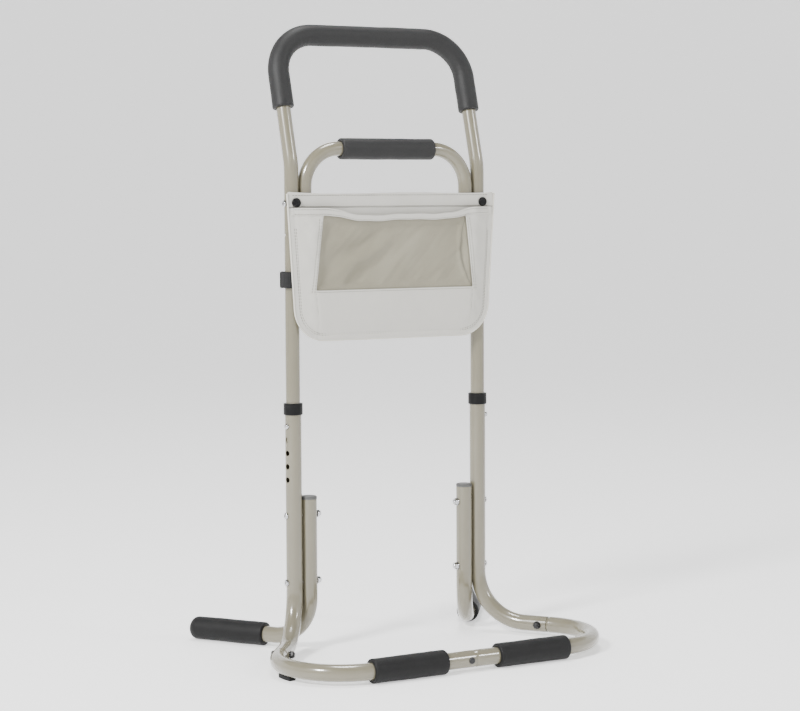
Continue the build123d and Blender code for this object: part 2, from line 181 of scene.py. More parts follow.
def makeFacingUpPale():  # lighter colour in uneven patches on faces that look up
    tree, given, result = newGroup("facingUpPaleness", [("Amount", "NodeSocketFloat", 0.15)], [("Mask", "NodeSocketFloat")])
    facing = splitOn(tree, tree.nodes.new("ShaderNodeNewGeometry").outputs["Normal"])
    patches = noiseOn(tree, objectCoords(tree), 45.0, 6.0, 0.65)
    up = mathOn(tree, "MULTIPLY", facing["Z"], patches, clamp=True)
    tree.links.new(mathOn(tree, "MULTIPLY", up, given.outputs["Amount"]), result.inputs["Mask"])
    return tree


groups = {"mottle": makeMottle(), "grain": makeGrain(), "cells": makeCells(), "weave": makeWeave(),
          "net": makeNet(), "facingUp": makeFacingUpPale()}
print("effects made")


def place(tree, name, **values):
    node = tree.nodes.new("ShaderNodeGroup")
    node.node_tree = groups[name]
    for label, value in values.items():
        node.inputs[label].default_value = value
    return node


def startMaterial(name, rough, metal=0.0, **sockets):
    material = bpy.data.materials.new(name)
    material.use_nodes = True
    tree = material.node_tree
    shader = tree.nodes["Principled BSDF"]
    shader.inputs["Roughness"].default_value = rough
    shader.inputs["Metallic"].default_value = metal
    for label, value in sockets.items():
        shader.inputs[label.replace("_", " ")].default_value = value
    return material, tree, shader


def mixColours(tree, mask, low, high):
    node = tree.nodes.new("ShaderNodeMix")
    node.data_type = "RGBA"
    tree.links.new(mask, node.inputs["Factor"])
    for slot, value in ((node.inputs[6], low), (node.inputs[7], high)):
        if isinstance(value, tuple):
            slot.default_value = (*value, 1.0)
        else:
            tree.links.new(value, slot)
    return node.outputs[2]


def bumpFrom(tree, shader, height, strength, distance):
    node = tree.nodes.new("ShaderNodeBump")
    node.inputs["Strength"].default_value = strength
    node.inputs["Distance"].default_value = distance
    tree.links.new(height, node.inputs["Height"])
    tree.links.new(node.outputs["Normal"], shader.inputs["Normal"])


def roughBetween(tree, shader, mask, low, high):
    node = tree.nodes.new("ShaderNodeMapRange")
    tree.links.new(mask, node.inputs["Value"])
    node.inputs["To Min"].default_value, node.inputs["To Max"].default_value = low, high
    tree.links.new(node.outputs["Result"], shader.inputs["Roughness"])


def sprayedPaint(name, dark, light):  # gloss powder coat with faint orange peel
    material, tree, shader = startMaterial(name, 0.2, Coat_Weight=1.0, Coat_Roughness=0.04)
    tone = place(tree, "mottle", Scale=22.0, Amount=0.9)
    base = mixColours(tree, tone.outputs["Mask"], dark, light)
    # the paint turns paler in uneven patches on faces that look up
    paleUp = place(tree, "facingUp", Amount=0.10)
    base = mixColours(tree, paleUp.outputs["Mask"], base, (0.62, 0.61, 0.57))
    tree.links.new(base, shader.inputs["Base Color"])
    peel = place(tree, "grain", Scale=420.0, Depth=1.0)
    roughBetween(tree, shader, tone.outputs["Mask"], 0.2, 0.3)
    bumpFrom(tree, shader, peel.outputs["Height"], 0.05, 0.0004)
    return material


def closedFoam(name, dark, light, shine=0.28):
    material, tree, shader = startMaterial(name, 0.6, Specular_IOR_Level=shine, Sheen_Weight=0.02,
                                           Sheen_Roughness=0.5)
    cells = place(tree, "cells", Scale=620.0)
    tone = place(tree, "mottle", Scale=34.0, Amount=1.2)
    base = mixColours(tree, tone.outputs["Mask"], dark, light)
    # painted shade: the foam colour darkens in the cell pits
    base = mixColours(tree, cells.outputs["PitShade"], base, tuple(v * 0.45 for v in dark))
    # the foam turns paler in uneven patches on faces that look up
    paleUp = place(tree, "facingUp", Amount=0.05)
    base = mixColours(tree, paleUp.outputs["Mask"], base, (0.16, 0.16, 0.16))
    tree.links.new(base, shader.inputs["Base Color"])
    roughBetween(tree, shader, tone.outputs["Mask"], 0.46, 0.62)
    bumpFrom(tree, shader, cells.outputs["Height"], 0.35, 0.0006)
    return material


def moulded(name, dark, light, rough, grain=1100.0, depth=0.18, shine=0.35):
    material, tree, shader = startMaterial(name, rough, Specular_IOR_Level=shine)
    tone = place(tree, "mottle", Scale=60.0, Amount=1.0)
    # the plastic turns paler in uneven patches on faces that look up
    paleUp = place(tree, "facingUp", Amount=0.05)
    base = mixColours(tree, tone.outputs["Mask"], dark, light)
    tree.links.new(mixColours(tree, paleUp.outputs["Mask"], base, (0.3, 0.3, 0.3)), shader.inputs["Base Color"])
    roughBetween(tree, shader, tone.outputs["Mask"], rough - 0.06, rough + 0.08)
    bumpFrom(tree, shader, place(tree, "grain", Scale=grain).outputs["Height"], depth, 0.0004)
    return material


def bareMetal(name, dark, light, rough):
    material, tree, shader = startMaterial(name, rough, metal=1.0)
    tone = place(tree, "mottle", Scale=140.0, Amount=1.2)
    tree.links.new(mixColours(tree, tone.outputs["Mask"], dark, light), shader.inputs["Base Color"])
    roughBetween(tree, shader, tone.outputs["Mask"], max(rough - 0.06, 0.03), rough + 0.12)
    bumpFrom(tree, shader, place(tree, "grain", Scale=700.0).outputs["Height"], 0.06, 0.0003)
    return material


def wovenCloth(name, dark, light, threads=1500.0, depth=0.3, rough=0.82, sheen=0.25):
    material, tree, shader = startMaterial(name, rough, Sheen_Weight=sheen, Sheen_Roughness=0.45)
    weave = place(tree, "weave", Threads=threads, Slub=0.5)
    tone = place(tree, "mottle", Scale=16.0, Amount=1.0)
    # painted shade between the threads, mixed with the yarn's slub tone
    base = mixColours(tree, weave.outputs["Shade"], dark, light)
    soiled = mathOn(tree, "MULTIPLY", tone.outputs["Mask"], 0.25)
    base = mixColours(tree, soiled, base, tuple(v * 0.82 for v in dark))
    tree.links.new(base, shader.inputs["Base Color"])
    roughBetween(tree, shader, tone.outputs["Mask"], rough - 0.1, rough + 0.1)
    bumpFrom(tree, shader, weave.outputs["Height"], depth, 0.0005)
    return material


def netCloth(name, dark, light):
    material, tree, shader = startMaterial(name, 0.7, Sheen_Weight=0.2, Sheen_Roughness=0.5)
    tone = place(tree, "mottle", Scale=14.0, Amount=1.6)
    net = place(tree, "net", Pitch=0.0013, Thread=0.66)
    tree.links.new(mixColours(tree, tone.outputs["Mask"], dark, light), shader.inputs["Base Color"])
    tree.links.new(net.outputs["Solid"], shader.inputs["Alpha"])
    bumpFrom(tree, shader, place(tree, "weave", Threads=1540.0).outputs["Height"], 0.3, 0.0004)
    return material


finishes = {
    "paint": sprayedPaint("beigePaint", (0.142, 0.128, 0.084), (0.164, 0.148, 0.100)),
    "foam": closedFoam("charcoalFoam", (0.0105, 0.0105, 0.0107), (0.0175, 0.0175, 0.0177)),
    # painted shade: the foot foam is the grip foam made darker, to hold back the light the floor bounces onto the
    # feet
    "shadedFootFoam": closedFoam("shadedFootFoam", (0.0045, 0.0045, 0.0047), (0.0085, 0.0085, 0.0087), 0.20),
    "blackPlastic": moulded("blackPlastic", (0.0035, 0.0035, 0.0037), (0.0075, 0.0075, 0.0078), 0.30,
                            shine=0.16),
    "greyPlastic": moulded("greyPlastic", (0.060, 0.060, 0.058), (0.095, 0.095, 0.092), 0.42),
    # near-black finish for the pads under the front corners
    "padNearBlack": moulded("cornerPadNearBlack", (0.004, 0.004, 0.004), (0.008, 0.008, 0.008), 0.62, 600.0, 0.3, 0.2),
    "chrome": bareMetal("brightChrome", (0.45, 0.45, 0.46), (0.62, 0.62, 0.63), 0.09),
    "blackSteel": moulded("blackSteel", (0.008, 0.008, 0.0085), (0.018, 0.018, 0.0185), 0.28),
    "springSteel": bareMetal("springSteel", (0.36, 0.36, 0.37), (0.50, 0.50, 0.51), 0.28),
    "cloth": wovenCloth("paleCloth", (0.445, 0.434, 0.396), (0.552, 0.540, 0.498), depth=0.12, rough=0.55,
                        sheen=0.1),
    "net": netCloth("beigeNet", (0.225, 0.208, 0.150), (0.290, 0.270, 0.205)),
    "tape": wovenCloth("paleTape", (0.50, 0.485, 0.43), (0.62, 0.60, 0.545), 900.0, 0.3),
    # the same dark thread also draws continuous lines of painted shade along the seams and the net fold
    "threadAndShadeLines": wovenCloth("paleThreadAndShadeLines", (0.105, 0.098, 0.074), (0.165, 0.155, 0.122), 5200.0, 0.4),
    "webbing": wovenCloth("blackWebbing", (0.003, 0.003, 0.0032), (0.014, 0.014, 0.0148), 800.0, 0.7, 0.85,
                          0.02),
}
print("finishes made")

nodeFinish = {
    "paint": ["lower_leg_left", "lower_leg_right", "rear_leg_left", "rear_leg_right", "front_base_left",
              "front_base_right", "upper_leg_left", "upper_leg_right", "main_handle", "second_handle"],
    "blackPlastic": ["leg_collar_left", "leg_collar_right", "rear_tube_plug_left", "rear_tube_plug_right",
                     "second_handle_plugs", "pouch_snaps"],
    "greyPlastic": ["rear_leg_cap_left", "rear_leg_cap_right"],
    "padNearBlack": ["corner_pad_left", "corner_pad_right"],
    "chrome": ["rear_leg_bolts", "rear_leg_washers", "rear_leg_nuts", "handle_bolts",
               "handle_washers", "handle_nuts", "snap_studs", "height_button_left", "height_button_right"],
    "blackSteel": ["side_joint_bolt_left", "side_joint_bolt_right", "side_joint_nuts", "side_joint_washers",
                   "base_button"],
    "springSteel": ["height_spring_left", "height_spring_right", "base_spring"],
}
for finish, names in nodeFinish.items():
    for name in names:
        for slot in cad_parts[name].material_slots:
            slot.material = finishes[finish]
print("metal and plastic finished")


# helpers for meshes and for routes along tubes
def meshPiece(name, verts, faces, finish):
    mesh = bpy.data.meshes.new(name)
    mesh.from_pydata([tuple(v) for v in verts], [], faces)
    mesh.update()
    for poly in mesh.polygons:
        poly.use_smooth = True
    mesh.materials.append(finishes[finish])
    piece = bpy.data.objects.new(name, mesh)
    bpy.context.scene.collection.objects.link(piece)
    return piece


def thicken(piece, thick, rounds=1):  # gives a surface its cloth thickness, then rounds its edges
    solid = piece.modifiers.new("thickness", "SOLIDIFY")
    solid.thickness, solid.offset = thick, 0.0
    if rounds:
        piece.modifiers.new("rounded", "SUBSURF").levels = rounds
    depsgraph = bpy.context.evaluated_depsgraph_get()
    mesh = bpy.data.meshes.new_from_object(piece.evaluated_get(depsgraph))
    piece.modifiers.clear()
    piece.data = mesh
    for poly in mesh.polygons:
        poly.use_smooth = True


def roundedRoute(points, bends, step=0.002):  # straight runs joined by arcs
    points = [Vector(p) for p in points]
    route, here = [], points[0]
    for corner, after, bend in zip(points[1:-1], points[2:], bends):
        a, b = (corner - here).normalized(), (after - corner).normalized()
        turn = a.angle(b)
        first = corner - a * (bend * math.tan(turn / 2))
        last = corner + b * (bend * math.tan(turn / 2))
        centre = corner + (b - a).normalized() * (bend / math.cos(turn / 2))
        axis = a.cross(b).normalized()
        count = max(2, round((first - here).length / step))
        route += [here.lerp(first, i / count) for i in range(count)]
        count = max(6, round(bend * turn / step))
        spoke = first - centre
        route += [centre + Matrix.Rotation(turn * i / count, 3, axis) @ spoke for i in range(count)]
        here = last
    count = max(2, round((points[-1] - here).length / step))
    return route + [here.lerp(points[-1], i / count) for i in range(count + 1)]


def sample(route, distances):  # point and direction at each distance along a route
    found, walked, i = [], 0.0, 0
    for wanted in distances:
        while i < len(route) - 2 and walked + (route[i + 1] - route[i]).length < wanted:
            walked += (route[i + 1] - route[i]).length
            i += 1
        run = route[i + 1] - route[i]
        before = route[max(i - 1, 0)]
        after = route[min(i + 2, len(route) - 1)]
        found.append((route[i] + run.normalized() * (wanted - walked), (after - before).normalized()))
    return found


def routeLength(route):
    return sum((b - a).length for a, b in zip(route, route[1:]))


def ringFaces(rings, sides, close=False):
    faces = []
    for i in range(rings if close else rings - 1):
        j = (i + 1) % rings
        for k in range(sides):
            n = (k + 1) % sides
            faces.append((i * sides + k, i * sides + n, j * sides + n, j * sides + k))
    return faces


def waves(point, scale, seed=0.0):
    x, y, z = (value * scale for value in point)
    return noise.noise(Vector((x + seed, y - seed, z + seed * 0.5)))


def ease(value):
    value = max(0.0, min(1.0, value))
    return value * value * (3 - 2 * value)


legLow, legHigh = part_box("upper_leg_right")
tubeX, tubeY = (legLow.x + legHigh.x) / 2, (legLow.y + legHigh.y) / 2


foamSkin = {"ringStep": 0.003, "rimRings": 6, "endRings": 9, "broad": 26.0, "fine": 95.0, "fineShare": 0.4,
            "creaseEvery": 0.009, "creaseWander": 60.0, "creaseReach": 4.0, "tip": 0.0008, "floor": 0.0002}


def ringAt(point, ox, oz, radius, sides):
    angles = [2 * math.pi * k / sides for k in range(sides)]
    return [point + (ox * math.cos(angle) + oz * math.sin(angle)) * radius for angle in angles]


# a skin round a tube, with rounded rims, domed over where the sleeve is closed
def foamSleeve(name, route, sizes, node, body):
    length, sides, lip = routeLength(route), sizes["sides"], sizes["lip"]
    far, rim, end = sizes.get("endRound", lip), foamSkin["rimRings"], foamSkin["endRings"]
    edge = [lip * (1 - math.cos(math.pi / 2 * k / rim)) for k in range(rim + 1)]
    farEdge = [far * (1 - math.cos(math.pi / 2 * k / end)) for k in range(end + 1)]
    count = round((length - lip - far) / foamSkin["ringStep"])
    middle = [lip + (length - lip - far) * k / count for k in range(1, count)]
    distances = edge + middle + [length - d for d in reversed(farEdge)]
    verts, frames, across = [], [], None
    for point, along in sample(route, distances):
        across = along.orthogonal() if across is None else across - along * across.dot(along)
        across = across.normalized()
        frames.append((point, along, across, along.cross(across)))
    for number, ((point, along, ox, oz), gone) in enumerate(zip(frames, distances)):
        radius = sizes["radius"]
        if gone < lip:
            radius += -lip + math.sqrt(max(lip ** 2 - (lip - gone) ** 2, 0))
        left = length - gone
        if left < far:
            radius += -far + math.sqrt(max(far ** 2 - (far - left) ** 2, 0))
        turned = frames[max(number - 2, 0)][1] - frames[min(number + 2, len(frames) - 1)][1]
        bends = turned.length > 1e-4
        for out in ringAt(Vector(), ox, oz, 1.0, sides):
            spot = point + out * radius
            fine = foamSkin["fineShare"] * waves(spot, foamSkin["fine"], 7.7)
            lumps = waves(spot, foamSkin["broad"], 3.1) + fine
            inside = max(0.0, -out.dot(turned) * foamSkin["creaseReach"]) if bends else 0.0
            phase = gone * 2 * math.pi / foamSkin["creaseEvery"]
            phase += 2.0 * waves(spot, foamSkin["creaseWander"])
            crease = sizes["creases"] * inside * (0.5 + 0.5 * math.sin(phase))
            spot = point + out * (radius + sizes["lumps"] * lumps - crease)
            spot.z = max(spot.z, foamSkin["floor"])  # flat where it rests on the floor
            verts.append(spot)
    rings = len(frames)
    if "endRound" in sizes:
        faces = ringFaces(rings, sides)
        point, along, ox, oz = frames[0]
        verts += ringAt(point, ox, oz, sizes["bore"], sides)
        for k in range(sides):
            n = (k + 1) % sides
            faces.append((n, k, rings * sides + k, rings * sides + n))
        tip = len(verts)
        verts.append(frames[-1][0] + frames[-1][1] * foamSkin["tip"])
        faces += [((rings - 1) * sides + k, (rings - 1) * sides + (k + 1) % sides, tip) for k in range(sides)]
    else:
        for point, along, ox, oz in reversed(frames):
            verts += ringAt(point, ox, oz, sizes["bore"], sides)
        faces = ringFaces(2 * rings, sides, close=True)
    piece = meshPiece(name, verts, faces, sizes["foam"])
    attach(piece, body)
    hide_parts(node)


handleFoam = {"radius": 0.0165, "bore": 0.0112, "lip": 0.0024, "sides": 48, "lumps": 0.0005,
              "creases": 0.0006, "foam": "foam", "bottom": 0.8345, "top": 0.9485, "leanFrom": 0.748,
              "lean": 16.0, "corner": 0.065}
leanStep = math.tan(math.radians(handleFoam["lean"]))
lowY = tubeY + (handleFoam["bottom"] - handleFoam["leanFrom"]) * leanStep
highY = tubeY + (handleFoam["top"] - handleFoam["leanFrom"]) * leanStep
handleRoute = roundedRoute([(-tubeX, lowY, handleFoam["bottom"]), (-tubeX, highY, handleFoam["top"]),
                            (tubeX, highY, handleFoam["top"]), (tubeX, lowY, handleFoam["bottom"])],
                           [handleFoam["corner"]] * 2)
foamSleeve("mainGripFoam", handleRoute, handleFoam, "main_grip", "upper_frame")

low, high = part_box("second_grip")
secondFoam = dict(handleFoam, lumps=0.0004)
middle = (low + high) / 2
foamSleeve("secondGripFoam", roundedRoute([(low.x, middle.y, middle.z), (high.x, middle.y, middle.z)], []),
           secondFoam, "second_grip", "upper_frame")

# the foot sleeves use the darkened foam, a painted shade against the floor's bounced light
shadedFootFoam = {"radius": 0.0182, "bore": 0.0128, "lip": 0.0026, "sides": 52, "lumps": 0.0006, "creases": 0.0,
            "foam": "shadedFootFoam"}
for side in ("left", "right"):
    low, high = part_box("front_foam_" + side)
    middle = (low + high) / 2
    foamSleeve("frontFoot" + side.title() + "Foam",
               roundedRoute([(low.x, middle.y, middle.z), (high.x, middle.y, middle.z)], []),
               shadedFootFoam, "front_foam_" + side, "base")

rearFoam = dict(shadedFootFoam, endRound=0.0125, splay=35.0, begin=0.078, end=0.2115, inset=0.0255, height=0.018)
for side, sign in (("left", -1), ("right", 1)):
    splay = math.radians(rearFoam["splay"])
    away = Vector((sign * math.sin(splay), math.cos(splay), 0))
    foot = Vector((sign * (tubeX - rearFoam["inset"]), tubeY, rearFoam["height"]))
    ends = [foot + away * rearFoam["begin"], foot + away * rearFoam["end"]]
    foamSleeve("rearFoot" + side.title() + "Foam", roundedRoute(ends, []), rearFoam,
               "rear_foot_foam_" + side, "base")
print("foam sleeves made")


# the pouch: back panel, turned top, pocket with a net window, hem, edge tape, stitching, continuous dark lines of
# painted shade, and snaps
pouch = {"top": 0.7045, "bottom": 0.480, "halfTop": 0.1825, "halfBottom": 0.168, "corner": 0.047, "shift": 0.0034,
         "backDepth": 0.01415, "backThick": 0.0013, "waviness": 0.0006, "topWave": 0.0008, "topWaves": 27.0,
         "cornerLift": 0.0016, "columns": 81}


def sideAt(z, grow=0.0):  # half width of the pouch at a height
    t = (z - pouch["bottom"]) / (pouch["top"] - pouch["bottom"])
    wide = pouch["halfBottom"] + (pouch["halfTop"] - pouch["halfBottom"]) * t + grow
    up, corner = z - pouch["bottom"] + grow, pouch["corner"] + grow
    if up < corner:
        wide -= corner - math.sqrt(max(corner ** 2 - (corner - up) ** 2, 0.0))
    return wide


def pouchRows(low, high, count):  # heights, closer together round the lower corners
    return [low + (high - low) * (1 - math.cos(math.pi / 2 * k / count)) for k in range(count + 1)]


def gridFaces(rows, columns, keep=lambda r, c: True):
    return [(r * columns + c, r * columns + c + 1, (r + 1) * columns + c + 1, (r + 1) * columns + c)
            for r in range(rows - 1) for c in range(columns - 1) if keep(r, c)]


def backDepthAt(x, z):
    free = ease((tubeX - 0.012 - abs(x)) / 0.03)
    return -(pouch["backDepth"] + pouch["waviness"] * waves((x, 0.3, z), 22.0, 1.3) * free)


def topWaveAt(x):
    return pouch["topWave"] * math.sin(x * pouch["topWaves"] + 0.8)


def cornerLiftAt(x):  # the top corners stand up a little
    return pouch["cornerLift"] * (abs(x) / pouch["halfTop"]) ** 8


def nearTop(z, reach):
    return ease((z - pouch["top"] + reach) / reach)


cornerTop = pouch["bottom"] + 0.05
rowHeights = pouchRows(pouch["bottom"], cornerTop, 14)
rowHeights += [cornerTop + (pouch["top"] - cornerTop) * k / 34 for k in range(1, 35)]
columns = pouch["columns"]
verts = []
for z in rowHeights:
    for c in range(columns):
        x = sideAt(z) * (2 * c / (columns - 1) - 1)
        lift = topWaveAt(x) * nearTop(z, 0.03) + cornerLiftAt(x) * nearTop(z, 0.02)
        verts.append((x, tubeY + backDepthAt(x, z), z + lift))
pouchBack = meshPiece("pouchBackPanel", verts, gridFaces(len(rowHeights), columns), "cloth")
thicken(pouchBack, pouch["backThick"])

# turned-over hem along the top
fold = {"height": 0.0220, "proud": 0.0011, "thick": 0.0009, "inset": 0.0012, "above": 0.0004, "ruck": 0.0005,
        "crown": 0.0004, "rows": 7, "columns": 150}
verts = []
for r in range(fold["rows"]):
    up = r / (fold["rows"] - 1)
    for c in range(fold["columns"]):
        x = (pouch["halfTop"] - fold["inset"]) * (2 * c / (fold["columns"] - 1) - 1)
        z = pouch["top"] + fold["above"] - fold["height"] * (1 - up)
        lift = (topWaveAt(x) + cornerLiftAt(x)) * nearTop(z, 0.03)
        ruck = fold["ruck"] * noise.noise(Vector((x * 40, 2.0, z * 30)))
        ruck += fold["crown"] * math.sin(math.pi * up)
        verts.append((x, tubeY + backDepthAt(x, z) - fold["proud"] - ruck, z + lift))
pouchFold = meshPiece("pouchTopFold", verts, gridFaces(fold["rows"], fold["columns"]), "cloth")
thicken(pouchFold, fold["thick"])

pocket = {"top": 0.6820, "windowLow": 0.557, "windowHigh": 0.6710, "bandEnds": 0.0112, "bandMiddle": 0.0080,
          "windowHalfHigh": 0.1255, "windowHalfLow": 0.1385, "nearDepth": 0.0162, "fullness": 0.0082,
          "thick": 0.0012, "sideColumns": 26, "windowColumns": 110}
droop = {"sag": 0.0118, "leftEnd": -0.124, "leftRun": 0.064, "rightEnd": 0.143, "rightRun": 0.046, "tilt": 0.016,
         "tiltFrom": -0.05, "full": 0.010}


def droopAt(x):  # falls quickly on the left, climbs slowly to the right
    share = ease((x - droop["leftEnd"]) / droop["leftRun"])
    share *= ease((droop["rightEnd"] - x) / droop["rightRun"])
    return share * (droop["sag"] - droop["tilt"] * (x - droop["tiltFrom"]))


def droopShare(x):
    return min(1.0, droopAt(x) / droop["full"])


def pocketTopAt(x):
    ripple = 0.0007 * math.sin(x * 64 + 0.6) + 0.0004 * math.sin(x * 131 + 2.0)
    return pocket["top"] - droopAt(x) + ripple * min(1.0, droopAt(x) * 200)


def bandAt(x):  # the band tips forward and looks narrower where it droops
    return pocket["bandEnds"] - (pocket["bandEnds"] - pocket["bandMiddle"]) * droopShare(x)


def windowTopAt(x):
    return pocketTopAt(x) - bandAt(x) - 0.0002


def windowHalfAt(z):
    t = (z - pocket["windowLow"]) / (pocket["windowHigh"] - pocket["windowLow"])
    wide = pocket["windowHalfLow"] + (pocket["windowHalfHigh"] - pocket["windowHalfLow"]) * max(t, -0.2)
    return min(wide, sideAt(z) * 0.86)


# the sewn lines: how far in, how wide a dip and how deep
seams = {"border": 0.0092, "borderWide": 0.0017, "borderDeep": 0.0008, "lowerHalf": 0.1390, "lowerLean": 0.10,
         "lowerWide": 0.0016, "lowerDeep": 0.0009, "crossBelow": 0.0030, "crossWide": 0.0016, "crossDeep": 0.0006}
puckers = {"sideRun": 0.040, "bottomRun": 0.036, "netGap": 0.004, "besideRun": 0.012, "underRun": 0.014,
           "broad": 0.0024, "small": 0.0012, "ripple": 0.0012}


def lowerSeamAt(z):  # leans inward towards the bottom
    return seams["lowerHalf"] - seams["lowerLean"] * (pocket["windowLow"] - z)


def dipFrom(line, off):
    return seams[line + "Deep"] * math.exp(-(off / seams[line + "Wide"]) ** 2)


def seamDip(x, z):  # cloth pulled in along the sewn lines
    rim = min(sideAt(z) - abs(x), z - pouch["bottom"])
    dip = dipFrom("border", rim - seams["border"])
    if z < pocket["windowLow"]:
        dip += dipFrom("lower", abs(x) - lowerSeamAt(z))
    return dip + dipFrom("cross", z - pocket["windowLow"] + seams["crossBelow"])


def pocketDepthAt(x, z):  # middle of the cloth, from the tube axis
    inward = ease((sideAt(z) - abs(x)) / puckers["sideRun"])
    upward = ease((z - pouch["bottom"]) / puckers["bottomRun"])
    full = pocket["fullness"] * inward * upward
    beside = ease((abs(x) - windowHalfAt(z) + puckers["netGap"]) / puckers["besideRun"]) * inward
    under = ease((pocket["windowLow"] - z + puckers["netGap"]) / puckers["underRun"]) * upward
    pucker = puckers["broad"] * noise.noise(Vector((x * 24, z * 48 + abs(x) * 40, 4.0))) * beside
    pucker += puckers["small"] * noise.noise(Vector((x * 60, z * 95 - abs(x) * 60, 8.0))) * beside
    ripple = puckers["ripple"] * noise.noise(Vector((x * 13, z * 22, 9.0))) * under
    return -(pocket["nearDepth"] + full + (pucker + ripple) * ease(inward * 2) - seamDip(x, z))


windowTall = pocket["windowHigh"] - pocket["windowLow"]
bandTall = pocket["top"] - pocket["windowHigh"]
lowRows = pouchRows(pouch["bottom"] + 0.0004, pocket["windowLow"], 42)
windowRows = [pocket["windowLow"] + windowTall * k / 26 for k in range(1, 27)]
topRows = [pocket["windowHigh"] + bandTall * k / 7 for k in range(1, 8)]
rowHeights = lowRows + windowRows + topRows
sideColumns, windowColumns = pocket["sideColumns"], pocket["windowColumns"]
columns = 2 * sideColumns + windowColumns + 1
verts = []
for z in rowHeights:
    outer, inner = sideAt(z) - 0.0003, windowHalfAt(z)
    for c in range(columns):
        if c < sideColumns:
            x = -outer + (outer - inner) * c / sideColumns
        elif c <= sideColumns + windowColumns:
            x = inner * (2 * (c - sideColumns) / windowColumns - 1)
        else:
            x = inner + (outer - inner) * (c - sideColumns - windowColumns) / sideColumns
        height = z
        if z > pocket["windowHigh"]:
            t = (z - pocket["windowHigh"]) / bandTall
            height = windowTopAt(x) + (pocketTopAt(x) - windowTopAt(x)) * t
        elif z > pocket["windowLow"]:
            t = (z - pocket["windowLow"]) / windowTall
            height = pocket["windowLow"] + (windowTopAt(x) - pocket["windowLow"]) * t
        verts.append((x, tubeY + pocketDepthAt(x, height), height))


def aroundWindow(r, c):
    insideRows = len(lowRows) - 1 <= r < len(lowRows) - 1 + len(windowRows)
    return not (insideRows and sideColumns <= c < sideColumns + windowColumns)


pouchFront = meshPiece("pouchPocketFront", verts, gridFaces(len(rowHeights), columns, aroundWindow), "cloth")
thicken(pouchFront, pocket["thick"])

net = {"tuck": 0.005, "behind": 0.0026, "thick": 0.0004, "fold": 0.0042, "foldLean": 0.75, "foldPitch": 95.0,
       "wander": 2.2, "edgeRun": 0.012, "lapLow": 0.556, "lapTall": 0.108, "lapIn": 0.0125, "lapDeep": 0.0012,
       "lapWide": 0.003, "rows": 70, "columns": 170}


def netTuckAt(z):  # where the slack net folds over beside its right-hand edge
    rise = max(0.0, min(1.0, (z - net["lapLow"]) / net["lapTall"]))
    return windowHalfAt(z) - net["lapIn"] * max(0.0, math.sin(math.pi * rise)) ** 0.8


def netDepthAt(x, z):  # slack folds run down from the upper right
    wander = net["wander"] * noise.noise(Vector((x * 9, z * 14, 2.0)))
    phase = (z - net["foldLean"] * x) * net["foldPitch"] + wander
    fold = math.sin(phase) * noise.noise(Vector((x * 9, z * 9, 5.0)))
    fine = noise.noise(Vector(((x - z) * 70, (x + z) * 14, 3.0)))
    beside, wide = x - netTuckAt(z), net["lapWide"]
    lap = ease(1 - abs(beside + wide) / (2 * wide)) - 0.9 * ease(beside / wide)
    edge = ease((windowHalfAt(z) - abs(x)) / net["edgeRun"])
    edge *= ease((z - pocket["windowLow"]) / net["edgeRun"])
    edge *= ease((windowTopAt(x) - z) / net["edgeRun"])
    slack = net["fold"] * (0.7 + 1.1 * fold + 0.3 * fine) - net["lapDeep"] * lap
    return pocketDepthAt(x, z) + net["behind"] + edge * slack


verts, lowEdge = [], pocket["windowLow"] - net["tuck"]
for r in range(net["rows"]):
    up = r / (net["rows"] - 1)
    for c in range(net["columns"]):
        z = pocket["windowLow"] + windowTall * up
        x = (windowHalfAt(z) + net["tuck"]) * (2 * c / (net["columns"] - 1) - 1)
        height = lowEdge + (windowTopAt(x) + net["tuck"] - lowEdge) * up
        verts.append((x, tubeY + netDepthAt(x, height), height))
pouchNet = meshPiece("pouchNetPanel", verts, gridFaces(net["rows"], net["columns"]), "net")
thicken(pouchNet, net["thick"], 0)
print("net panel made")

hem = {"proud": 0.0011, "thick": 0.0011, "half": 0.1772, "above": 0.0006, "overlap": 0.0010, "crown": 0.0005,
       "tip": 0.0010, "rows": 6, "columns": 150}
verts = []
for r in range(hem["rows"]):
    up = r / (hem["rows"] - 1)
    for c in range(hem["columns"]):
        x = hem["half"] * (2 * c / (hem["columns"] - 1) - 1)
        z = pocketTopAt(x) + hem["above"] - (bandAt(x) + hem["overlap"]) * (1 - up)
        roll = hem["crown"] * math.sin(math.pi * up) + hem["tip"] * droopShare(x) * up
        verts.append((x, tubeY + pocketDepthAt(x, z) - hem["proud"] - roll, z))
pouchHem = meshPiece("pocketTopHem", verts, gridFaces(hem["rows"], hem["columns"]), "cloth")
thicken(pouchHem, hem["thick"])
print("pocket hem made")

binding = {"grow": 0.0004, "halfWide": 0.0011, "halfDeep": 0.0019, "depth": 0.0158, "below": 0.0006, "sides": 14,
           "straightSteps": 60, "cornerSteps": 18}
grow, straight = binding["grow"], pouch["top"] - pouch["bottom"] - pouch["corner"]
rimHeights = [pouch["top"] - binding["below"] - straight * k / binding["straightSteps"]
              for k in range(binding["straightSteps"] + 1)]
for k in range(1, binding["cornerSteps"] + 1):
    drop = 1 - math.sin(math.pi / 2 * k / binding["cornerSteps"])
    rimHeights.append(pouch["bottom"] - grow + (pouch["corner"] + grow) * drop)
rim = [(sideAt(z, grow), z) for z in rimHeights]
flatHalf = rim[-1][0]
outlineRoute = [Vector((-x, 0, z)) for x, z in rim]
outlineRoute += [Vector((flatHalf * (2 * k / 60 - 1), 0, rim[-1][1])) for k in range(1, 60)]
outlineRoute += [Vector((x, 0, z)) for x, z in reversed(rim)]
verts = []
